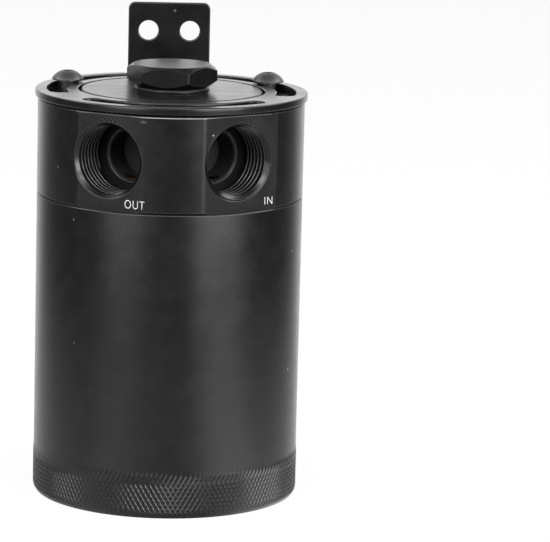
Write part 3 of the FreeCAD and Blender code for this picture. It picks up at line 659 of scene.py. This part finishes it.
def turned(form, outline, steps=256):
    rings = []
    for radius, height in outline:
        if radius == 0:
            rings.append([form.verts.new((0, 0, height * mm))])
            continue
        rings.append([form.verts.new(atAngle(radius, fullTurn * k / steps, height)) for k in range(steps)])
    for low, high in zip(rings, rings[1:]):
        for k in range(steps):
            after = (k + 1) % steps
            corners = [low[k % len(low)], low[after % len(low)], high[after % len(high)], high[k % len(high)]]
            form.faces.new(list(dict.fromkeys(corners)))
    return rings


def finishPiece(name, form, finish, body, sharpAngle=35):
    bmesh.ops.recalc_face_normals(form, faces=form.faces)
    mesh = bpy.data.meshes.new(name)
    form.to_mesh(mesh)
    form.free()
    mesh.shade_smooth()
    mesh.set_sharp_from_angle(angle=math.radians(sharpAngle))
    mesh.materials.append(finish)
    piece = addObject(name, mesh)
    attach(piece, body)
    return piece


def evaluatedMesh(draft):
    bpy.context.view_layer.update()
    return bpy.data.meshes.new_from_object(draft.evaluated_get(bpy.context.evaluated_depsgraph_get()))


def cutAcross(form, spot, normal, **settings):
    everything = form.verts[:] + form.edges[:] + form.faces[:]
    bmesh.ops.bisect_plane(form, geom=everything, plane_co=spot, plane_no=normal, **settings)


def helixRidge(form, thread, place=Matrix.Identity(4)):
    # A ridge wound round the Z axis from start to end, base radius to crest radius, with run-out ends.
    length = thread["end"] - thread["start"]
    steps = round(abs(length) / thread["pitch"] * thread["stepsPerTurn"])
    rise = thread["crest"] - thread["base"]
    root = thread["base"] - math.copysign(thread["sunk"], rise)
    foot, top = thread["foot"] / 2, thread["top"] / 2
    sections = []
    for n in range(steps + 1):
        along = thread["start"] + length * n / steps
        angle = fullTurn * (along - thread["start"]) / thread["pitch"] + thread.get("phase", 0)
        crest = thread["base"] + rise * min(1, n / thread["fade"], (steps - n) / thread["fade"])
        section = []
        for radius, offset in ((root, -foot), (crest, -top), (crest, top), (root, foot)):
            point = Vector((radius * math.cos(angle), radius * math.sin(angle), along + offset)) * mm
            section.append(form.verts.new(place @ point))
        sections.append(section)
    for one, other in zip(sections, sections[1:]):
        for k in range(4):
            form.faces.new((one[k], one[(k + 1) % 4], other[(k + 1) % 4], other[k]))
    form.faces.new(sections[0])
    form.faces.new(reversed(sections[-1]))


# Canister: a turned cup with a crossed knurl at its foot.
canisterSizes = {
    "radius": 40.0, "height": 90.9, "rim": 0.5, "mouthRadius": 37.2, "mouthBevel": 0.5, "boreRadius": 36.5,
    "threadLow": 79.3, "threadRelief": 0.7, "floor": 5.0, "floorRound": 3.0, "footRadius": 39.45,
    "footRound": 0.2, "footRise": 0.85, "footInset": 0.05, "bandGap": 0.25, "sharpRound": 0.1,
}
knurl = {
    "columns": 166, "rise": 2.6, "bottom": 1.0, "top": 14.8, "groove": 0.56, "depth": 0.175, "proud": 0.15,
    "slashTop": 14.4, "backslashTop": 11.8, "fade": 2.0, "footFade": 0.5,
    "wander": [(0.25, 3, 1.0), (0.12, 11, 0.0)],  # how far, waves round the can, start
}
knurlPitch = fullTurn * canisterSizes["radius"] / knurl["columns"]
knurlLean = math.cos(math.atan2(knurlPitch, knurl["rise"]))


def knurlHeight(angle, height):
    turns = angle * knurl["columns"] / fullTurn
    wander = sum(far * math.sin(waves * angle + start) for far, waves, start in knurl["wander"])
    foot = min(1, max(0, (height - knurl["bottom"]) / knurl["footFade"]))
    cut = 0
    present = 0
    for way, top in ((1, knurl["backslashTop"]), (-1, knurl["slashTop"])):
        place = way * turns + height / knurl["rise"]
        offset = abs(place - round(place)) * knurlPitch * knurlLean
        strength = min(1, max(0, (top + wander - height) / knurl["fade"])) * foot
        cut = max(cut, strength * knurl["depth"] * max(0, 1 - offset / (knurl["groove"] / 2)))
        present = max(present, strength)
    return present * knurl["proud"] - cut


def knurlBand(form):
    columns, rise, radius = knurl["columns"], knurl["rise"], canisterSizes["radius"]
    half = knurl["groove"] / 2 / (knurlPitch * knurlLean)
    lines = (-half, 0.0, half)
    found = {}

    def corner(first, second):
        # first and second count the lattice lines of the two ways, three to a groove
        shift = math.floor((first - second) / (6 * columns))
        first, second = first - 3 * columns * shift, second + 3 * columns * shift
        if (first, second) not in found:
            one = first // 3 + lines[first % 3]
            two = second // 3 + lines[second % 3]
            angle = (one - two) * math.pi / columns
            found[first, second] = form.verts.new(atAngle(radius, angle, (one + two) / 2 * rise))
        return found[first, second]

    rows = math.ceil(2 * knurl["top"] / rise) + 1
    for total in range(-2, 3 * rows + 3):
        for difference in range(0, 6 * columns):
            if (total + difference) % 2:
                continue
            first = (total + difference) // 2
            second = (total - difference) // 2
            square = [corner(first + one, second + two) for one, two in ((0, 0), (1, 0), (1, 1), (0, 1))]
            if 2 in (first % 3, second % 3):
                faces = [(0, 1, 2, 3)]
            else:
                # a crossing of two grooves is folded from its land corner to its centre
                same = first % 3 == second % 3
                faces = [(0, 1, 2), (0, 2, 3)] if same else [(0, 1, 3), (1, 2, 3)]
            for face in faces:
                form.faces.new([square[k] for k in face])
    for height, side in ((knurl["bottom"], -1), (knurl["top"], 1)):
        cutAcross(form, (0, 0, height * mm), (0, 0, side), clear_outer=True)
    for vert in form.verts:
        angle = math.atan2(vert.co.y, vert.co.x)
        height = vert.co.z / mm
        vert.co.x, vert.co.y = atAngle(radius + knurlHeight(angle, height), angle, height)[:2]
    edges = [edge for edge in form.edges if edge.is_boundary]
    halfway = (knurl["bottom"] + knurl["top"]) / 2 * mm
    low = [edge for edge in edges if edge.verts[0].co.z < halfway]
    high = [edge for edge in edges if edge.verts[0].co.z > halfway]
    return low, high


def ringEdges(ring):
    found = []
    for k, vert in enumerate(ring):
        after = ring[(k + 1) % len(ring)]
        found.append(next(edge for edge in vert.link_edges if after in edge.verts))
    return found


def makeCanister():
    size = canisterSizes
    radius, mouth, bore, sharp = size["radius"], size["mouthRadius"], size["boreRadius"], size["sharpRound"]
    form = bmesh.new()
    low, high = knurlBand(form)
    foot = [(0, 0, 0), (size["footRadius"], 0, size["footRound"])]
    foot.append((radius - size["footInset"], size["footRise"], 0))
    base = turned(form, roundedPath(foot, 3))
    upper = [
        (radius, knurl["top"] + size["bandGap"], 0), (radius, size["height"], size["rim"]),
        (mouth + size["mouthBevel"], size["height"], sharp), (mouth, size["height"] - size["mouthBevel"], sharp),
        (mouth, size["threadLow"], sharp), (bore, size["threadLow"] - size["threadRelief"], sharp),
        (bore, size["floor"], size["floorRound"]), (0, size["floor"], 0),
    ]
    wall = turned(form, roundedPath(upper, 6))
    bmesh.ops.bridge_loops(form, edges=low + ringEdges(base[-1]))
    bmesh.ops.bridge_loops(form, edges=high + ringEdges(wall[0]))
    piece = finishPiece("canisterShell", form, canisterFinish, "canister", 20)
    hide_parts("canister")


makeCanister()
print("canister made")

# Threads: both hose ports, the head's spigot and the canister's mouth.
portThread = {"foot": 1.5, "top": 0.2, "sunk": 0.03, "fade": 8, "stepsPerTurn": 90}
entryCone = {"overlap": 0.02, "start": 0.1, "wall": 0.95, "land": 0.15, "steps": 180}
mouthThread = {"pitch": 2.0, "foot": 1.15, "top": 0.35, "sunk": 0.03, "fade": 16, "stepsPerTurn": 120}
spigotSizes = {"start": 81.5, "end": 86.6, "base": 36.42, "crest": 37.1}
mouthSizes = {"start": 80.1, "end": 86.6, "base": 37.2, "crest": 36.52, "phase": 1.6 * math.pi}


def sideAxes(side, turn=0.0):
    # the direction out of a port or its flat, and the one across it
    angle = math.radians(side * portSizes["angle"] + turn)
    outward = Vector((math.sin(angle), -math.cos(angle), 0))
    return outward, Vector((0, 0, 1)).cross(outward)


def portPlace(side):
    # the port's own frame: Z runs from the flat inwards to the head's axis
    outward, across = sideAxes(side)
    origin = outward * portSizes["face"][side] * mm + Vector((0, 0, portSizes["height"] * mm))
    axes = Matrix((across, Vector((0, 0, 1)), -outward)).transposed().to_4x4()
    return Matrix.Translation(origin) @ axes


def makePortThreads():
    size = portSizes
    for name, side in (("outPortThread", -1), ("inPortThread", 1)):
        form = bmesh.new()
        place = portPlace(side)
        bore, crest, entry = size["bore"], size["crest"], size["entry"][side]
        end = size["face"][side] - size["inner"] - size["threadGap"]
        thread = dict(portThread, start=size["from"], end=end, base=bore, crest=crest)
        helixRidge(form, dict(thread, pitch=size["pitch"], phase=size["phase"]), place)
        # the entry is a solid cone that runs from the flat down to the thread's crest
        depth, overlap = entry - crest, entryCone["overlap"]
        cone = [
            (bore + overlap, entryCone["start"]), (bore + overlap, depth + entryCone["wall"]),
            (crest, depth + entryCone["land"]), (crest, depth), (bore - overlap, entry - bore + overlap),
        ]
        rings = turned(form, cone + cone[:1], entryCone["steps"])
        verts = [vert for ring in rings for vert in ring]
        for vert in verts:
            vert.co = place @ vert.co
        bmesh.ops.remove_doubles(form, verts=verts, dist=tiny)
        piece = finishPiece(name, form, portFinish, "head", 30)


def makeMouthThreads():
    for name, sizes, finish, body in (
        ("spigotThread", spigotSizes, headFinish, "head"),
        ("mouthThread", mouthSizes, canisterFinish, "canister"),
    ):
        form = bmesh.new()
        helixRidge(form, dict(mouthThread, **sizes))
        piece = finishPiece(name, form, finish, body, 30)


makePortThreads()
makeMouthThreads()
print("threads made")

# Top plug: its hexagon is what a prism and a turned barrel share, and its shank has a thread.
plugSizes = {
    "under": 123.9, "hexHeight": 6.2, "flats": 24.0, "turn": 40.7, "face": 11.6, "bevel": 38, "corner": 0.3,
    "barrelGap": 1, "steps": 180, "shankLow": 111.9, "root": 8.15, "tip": 7.4, "tipRound": 0.2, "tipRise": 0.7,
    "neck": 8.6, "neckFrom": 0.4, "neckFull": 0.9, "overlap": 0.02,
}
plugThread = {
    "start": 112.7, "end": 121.3, "pitch": 1.5, "base": 8.15, "crest": 8.9, "foot": 1.2, "top": 0.3, "sunk": 0.03,
    "fade": 12, "stepsPerTurn": 90,
}


def makeHexPlug():
    size = plugSizes
    low, high = size["under"], size["under"] + size["hexHeight"]
    corner = size["flats"] / math.sqrt(3)
    prism = bmesh.new()
    ends = []
    for height in (low, high):
        ring = []
        for k in range(6):
            # each upright edge is cut to a narrow strip
            angle = math.radians(30 + 60 * k - size["turn"])
            spot = Vector((math.cos(angle), math.sin(angle))) * corner
            for way in (-120, 120):
                x, y = spot + Matrix.Rotation(math.radians(way), 2) @ spot.normalized() * size["corner"]
                ring.append(prism.verts.new((x * mm, y * mm, height * mm)))
        ends.append(ring)
    prism.faces.new(reversed(ends[0]))
    prism.faces.new(ends[1])
    for k in range(12):
        after = (k + 1) % 12
        prism.faces.new((ends[0][k], ends[0][after], ends[1][after], ends[1][k]))
    barrel = bmesh.new()
    reach = corner + size["barrelGap"]
    slope = (reach - size["face"]) * math.tan(math.radians(size["bevel"]))
    lower = [(0, low), (size["face"], low), (reach, low + slope)]
    upper = [(reach, high - slope), (size["face"], high), (0, high)]
    turned(barrel, lower + upper, size["steps"])
    bmesh.ops.recalc_face_normals(barrel, faces=barrel.faces)
    drafts = []
    for name, form in (("prism", prism), ("barrel", barrel)):
        mesh = bpy.data.meshes.new(name)
        form.to_mesh(mesh)
        form.free()
        drafts.append(addObject(name, mesh))
    meet = drafts[0].modifiers.new("meet", "BOOLEAN")
    meet.operation = "INTERSECT"
    meet.solver = "EXACT"
    meet.object = drafts[1]
    mesh = evaluatedMesh(drafts[0])
    for draft in drafts:
        bpy.data.objects.remove(draft)
    form = bmesh.new()
    form.from_mesh(mesh)
    foot, end, top = size["shankLow"], plugThread["end"], size["under"] + size["overlap"]
    shank = [
        (0, foot, 0), (size["tip"], foot, size["tipRound"]), (size["root"], foot + size["tipRise"], 0),
        (size["root"], end + size["neckFrom"], 0), (size["neck"], end + size["neckFull"], 0),
        (size["neck"], top, 0), (0, top, 0),
    ]
    turned(form, roundedPath(shank, 3), size["steps"])
    helixRidge(form, plugThread)
    piece = finishPiece("hexPlug", form, plugFinish, "plug", 20)
    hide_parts("top_plug")


makeHexPlug()
print("plug made")

# Bracket: one sheet with slots, cut flat with rounded edges and then bent at its tab.
sheetSizes = {
    "outer": 40.8, "hole": 28.0, "low": 120.1, "thick": 2.2, "edge": 0.38, "rim": 0.06,
    "slotRadius": 34.4, "slotWidth": 5.8, "slotCentres": (-90, 30, 150), "travel": 43.67,
    "tabHalf": 12.65, "notch": 1.0, "bendStart": 37.0, "bendInner": 1.6, "neutral": 2.7, "tabTop": 144.1,
    "corner": 2.0, "boltRadius": 3.05, "boltSide": 6.4, "boltHeight": 135.4, "slack": 0.2, "mitreLimit": 0.3,
}
sheetSteps = {"outer": 220, "hole": 180, "bolt": 48, "corner": 8, "slot": 80, "slotEnd": 16, "edge": 4, "bend": 10}


def arcPoints(centre, radius, first, last, steps):
    angles = [math.radians(first + (last - first) * n / steps) for n in range(steps + 1)]
    return [(centre[0] + radius * math.cos(a), centre[1] + radius * math.sin(a)) for a in angles]


def sheetContours():
    # the flat pattern: its outline runs anticlockwise, its holes clockwise
    size = sheetSizes
    bend = size["neutral"] * math.pi / 2
    rise = size["low"] + size["thick"] + size["bendInner"]
    straight = size["bendStart"] + bend - rise
    side, root, corner = size["tabHalf"], size["bendStart"], size["corner"]
    wide = side + size["notch"]
    start = math.degrees(math.acos(wide / size["outer"]))
    top = straight + size["tabTop"]
    axis, steps = (0, 0), sheetSteps
    edge = arcPoints(axis, size["outer"], 180 - start, 360 + start, steps["outer"])
    edge += [(wide, root), (side, root)]
    edge += arcPoints((side - corner, top - corner), corner, 0, 90, steps["corner"])
    edge += arcPoints((corner - side, top - corner), corner, 90, 180, steps["corner"])
    edge += [(-side, root), (-wide, root)]
    holes = [arcPoints(axis, size["hole"], 360, 0, steps["hole"])[:-1]]
    for x in (-size["boltSide"], size["boltSide"]):
        bolt = (x, straight + size["boltHeight"])
        holes.append(arcPoints(bolt, size["boltRadius"], 360, 0, steps["bolt"])[:-1])
    half, middle = size["slotWidth"] / 2, size["slotRadius"]
    for centre in size["slotCentres"]:
        first, last = centre - size["travel"], centre + size["travel"]
        ends = [(middle * math.cos(math.radians(a)), middle * math.sin(math.radians(a))) for a in (first, last)]
        slot = arcPoints(axis, middle + half, last, first, steps["slot"])
        slot += arcPoints(ends[0], half, first, first - 180, steps["slotEnd"])[1:]
        slot += arcPoints(axis, middle - half, first, last, steps["slot"])[1:]
        slot += arcPoints(ends[1], half, last + 180, last, steps["slotEnd"])[1:-1]
        holes.append(slot)
    return [edge] + holes


def contourNormals(contour):
    # at each corner the way out of the sheet, lengthened at a mitre
    normals = []
    for k, point in enumerate(contour):
        back = (Vector(point) - Vector(contour[k - 1])).normalized()
        onward = (Vector(contour[(k + 1) % len(contour)]) - Vector(point)).normalized()
        one, other = Vector((back.y, -back.x)), Vector((onward.y, -onward.x))
        middle = (one + other).normalized()
        normals.append(middle / max(sheetSizes["mitreLimit"], middle.dot(one)))
    return normals


def fillBetween(contours, spots):
    # triangles that lie inside the outline and outside its holes
    edges, first = [], 0
    for contour in contours:
        edges += [(first + k, first + (k + 1) % len(contour)) for k in range(len(contour))]
        first += len(contour)
    kept = []
    for face in delaunay_2d_cdt(spots, edges, [], 0, tiny)[2]:
        x, y = sum((spots[k] for k in face), Vector((0, 0))) / 3
        crossings = 0
        for one, other in edges:
            (ax, ay), (bx, by) = spots[one], spots[other]
            if (ay > y) != (by > y) and x < ax + (y - ay) * (bx - ax) / (by - ay):
                crossings += 1
        if crossings % 2:
            kept.append(face)
    return kept


def makeBracketSheet():
    size = sheetSizes
    edge, thick = size["edge"], size["thick"]
    profile = [(edge + size["rim"], 0)]
    for n in range(sheetSteps["edge"] + 1):
        turn = math.radians(90 * n / sheetSteps["edge"])
        profile.append((edge * (1 - math.sin(turn)), edge * (1 - math.cos(turn))))
    profile += [(inset, thick - rise) for inset, rise in reversed(profile)]
    form = bmesh.new()
    ends = {0: [], len(profile) - 1: []}
    contours = sheetContours()
    for contour in contours:
        normals = contourNormals(contour)
        rings = []
        for inset, rise in profile:
            spots = [Vector(point) - normal * inset for point, normal in zip(contour, normals)]
            rings.append([form.verts.new((x * mm, y * mm, rise * mm)) for x, y in spots])
        for low, high in zip(rings, rings[1:]):
            for k in range(len(contour)):
                after = (k + 1) % len(contour)
                form.faces.new((low[k], low[after], high[after], high[k]))
        for place in ends:
            ends[place] += rings[place]
    for face in fillBetween(contours, [vert.co.xy / mm for vert in ends[0]]):
        for verts in ends.values():
            form.faces.new([verts[k] for k in face])
    bend = size["neutral"] * math.pi / 2
    for n in range(sheetSteps["bend"] + 1):
        line = (size["bendStart"] + bend * n / sheetSteps["bend"]) * mm
        cutAcross(form, (0, line, 0), (0, 1, 0))
    rise = size["low"] + thick + size["bendInner"]
    for vert in form.verts:
        along = vert.co.y / mm - size["bendStart"]
        height = size["low"] + vert.co.z / mm
        if along > 1e-6 and abs(vert.co.x) < (size["tabHalf"] + size["slack"]) * mm:
            radius = rise - height
            turn = min(along / size["neutral"], math.pi / 2)
            vert.co.y = (size["bendStart"] + radius * math.sin(turn)) * mm
            height = rise - radius * math.cos(turn) + max(0, along - bend)
        vert.co.z = height * mm
    piece = finishPiece("bracketSheet", form, sheetFinish, "bracket", 38)
    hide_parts("bracket")


makeBracketSheet()
print("bracket made")

# Lettering beside the ports, in thin white paint.
lettering = {
    "OUT": {"side": -1, "along": 5.0, "low": 92.2, "height": 2.4, "width": 6.4},
    "IN": {"side": 1, "along": 8.6, "low": 92.5, "height": 2.15, "width": 2.7},
}
strokes = {"thick": 0.02, "sunk": 0.01, "thinned": -0.022, "spread": 1.15, "curveSteps": 6}


def makeLettering():
    for word, size in lettering.items():
        curve = bpy.data.curves.new(word, "FONT")
        curve.body = word
        curve.resolution_u = strokes["curveSteps"]
        curve.extrude = strokes["thick"]
        curve.offset = strokes["thinned"]
        curve.space_character = strokes["spread"]
        draft = addObject(word, curve)
        mesh = evaluatedMesh(draft)
        bpy.data.objects.remove(draft)
        low = Vector([min(v.co[k] for v in mesh.vertices) for k in range(3)])
        high = Vector([max(v.co[k] for v in mesh.vertices) for k in range(3)])
        outward, across = sideAxes(size["side"], portSizes["flatTurn"])
        for vert in mesh.vertices:
            share = (vert.co.x - low.x) / (high.x - low.x)
            rise = (vert.co.y - low.y) / (high.y - low.y)
            lift = strokes["thick"] if vert.co.z > 0 else -strokes["sunk"]
            point = outward * (portSizes["face"][size["side"]] + lift)
            point += across * (size["along"] + size["width"] * share)
            vert.co = (point + Vector((0, 0, size["low"] + size["height"] * rise))) * mm
        mesh.materials.clear()
        mesh.materials.append(whitePaint)
        piece = addObject("mark" + word.title(), mesh)
        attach(piece, "head")


makeLettering()
print("lettering made")
